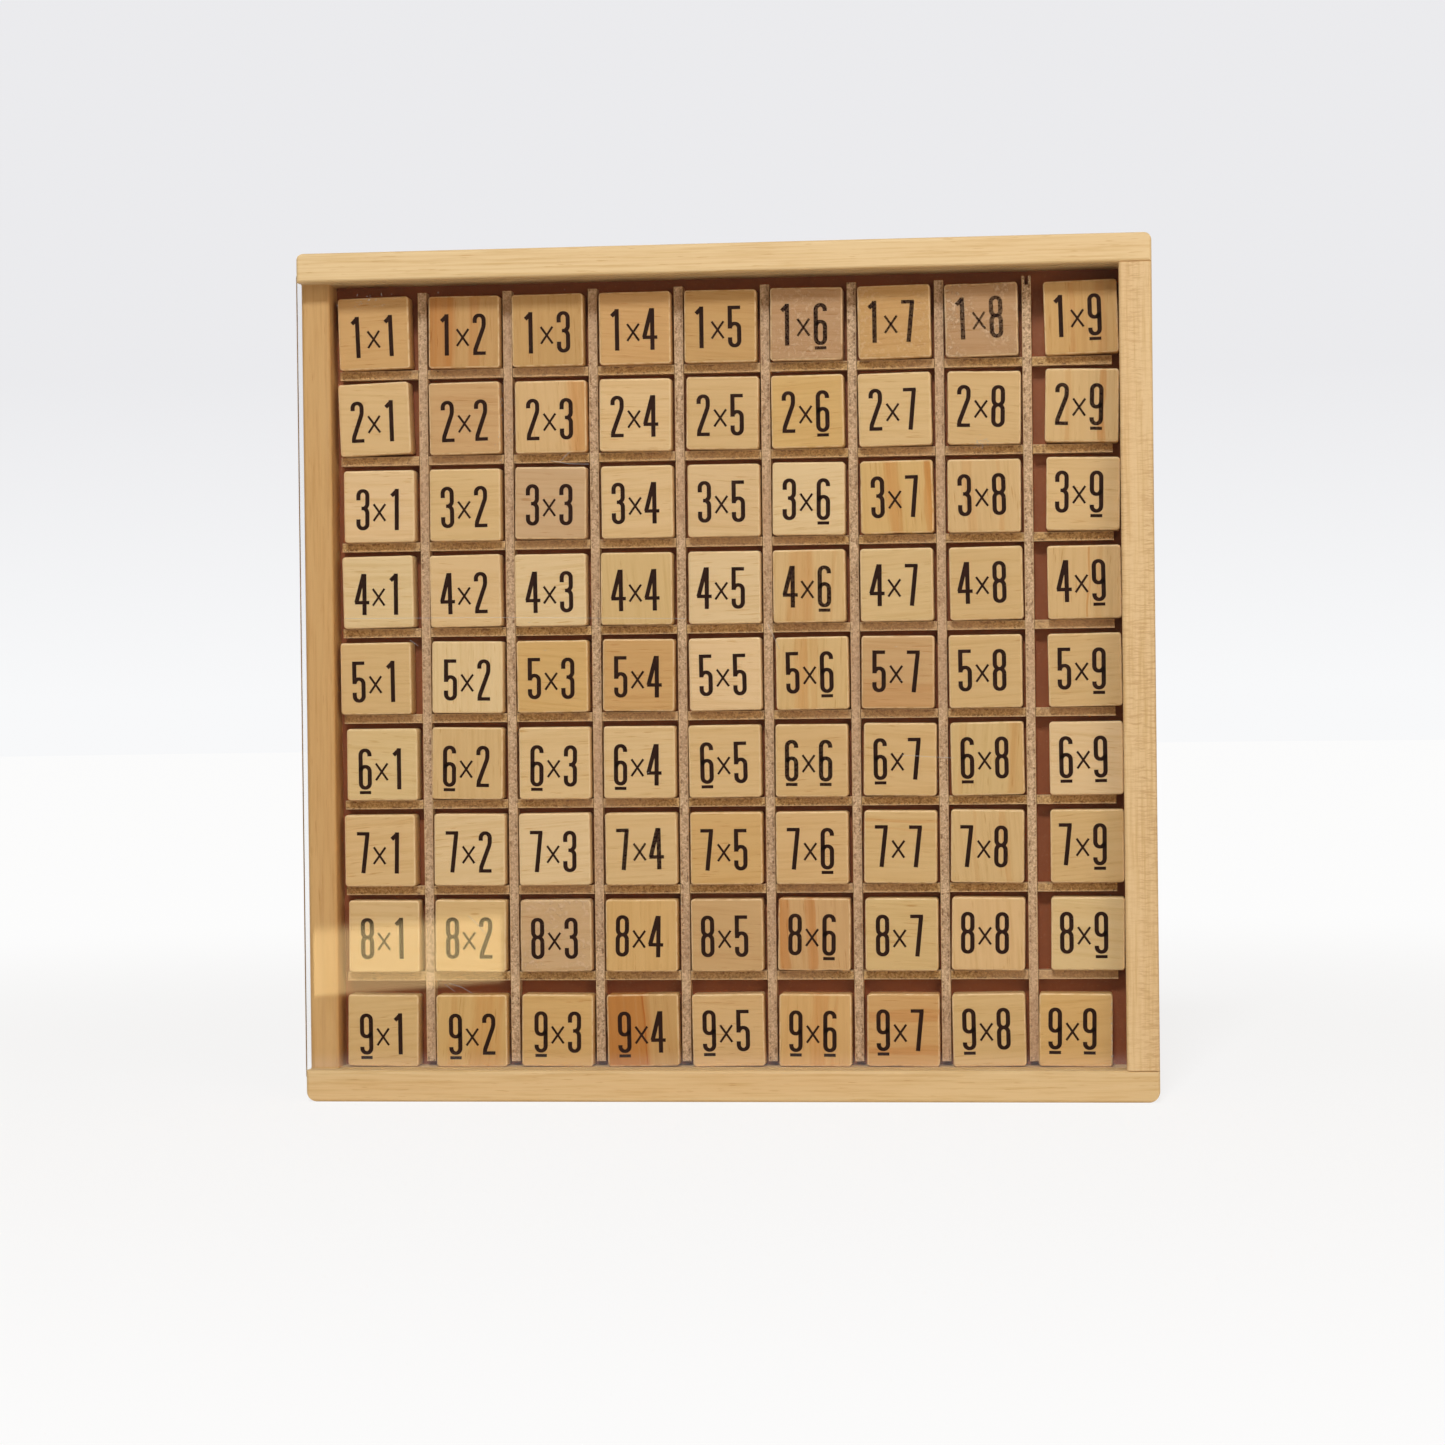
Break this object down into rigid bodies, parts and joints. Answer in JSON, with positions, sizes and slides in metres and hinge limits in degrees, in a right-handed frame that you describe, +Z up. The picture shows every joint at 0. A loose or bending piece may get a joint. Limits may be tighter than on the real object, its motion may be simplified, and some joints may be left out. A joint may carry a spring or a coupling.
{
  "type": "multiplication tile board",
  "caption": "Square wooden tray of loose multiplication tiles in a grid of half-lapped divider strips, under a clear sheet that slides out to the left.",
  "frame": {"origin": "middle of the underside, on the surface that the upright board stands on", "axes": "+Z up the upright board, +Y from the clear front to the back panel, +X to the right as seen from the front; the lid slides out along -X"},
  "size_m": [0.231, 0.0204, 0.23],
  "materials": {
    "frame_wood": "sanded pale pine, unvarnished, with fine lengthwise grain",
    "strip_board": "raw sawn fibreboard edges, grey-tan and slightly fuzzy",
    "hardboard": "dark red-brown tempered hardboard, smooth and slightly glossy",
    "tile_wood": "sanded pine tiles of mixed tones, printed with near-black figures on the front",
    "clear_sheet": "clear acrylic, polished, with faint scratches and dust"
  },
  "bodies": {
    "tray": {"back_panel": "hardboard", "top_rail": "frame_wood", "bottom_rail": "frame_wood", "left_rail": "frame_wood", "right_rail": "frame_wood", "upright_strip_1": "strip_board", "upright_strip_2": "strip_board", "upright_strip_3": "strip_board", "upright_strip_4": "strip_board", "upright_strip_5": "strip_board", "upright_strip_6": "strip_board", "upright_strip_7": "strip_board", "upright_strip_8": "strip_board", "cross_strip_1": "strip_board", "cross_strip_2": "strip_board", "cross_strip_3": "strip_board", "cross_strip_4": "strip_board", "cross_strip_5": "strip_board", "cross_strip_6": "strip_board", "cross_strip_7": "strip_board", "cross_strip_8": "strip_board", "tiles_row_1": "tile_wood", "tiles_row_2": "tile_wood", "tiles_row_3": "tile_wood", "tiles_row_4": "tile_wood", "tiles_row_5": "tile_wood", "tiles_row_6": "tile_wood", "tiles_row_7": "tile_wood", "tiles_row_8": "tile_wood", "tiles_row_9": "tile_wood"},
    "lid": {"clear_lid": "clear_sheet"}
  },
  "joints": [
    {"name": "lid_slide", "type": "slide", "parent": "tray", "child": "lid", "axis": [-1, 0, 0], "range_m": [0, 0.215]}
  ]
}
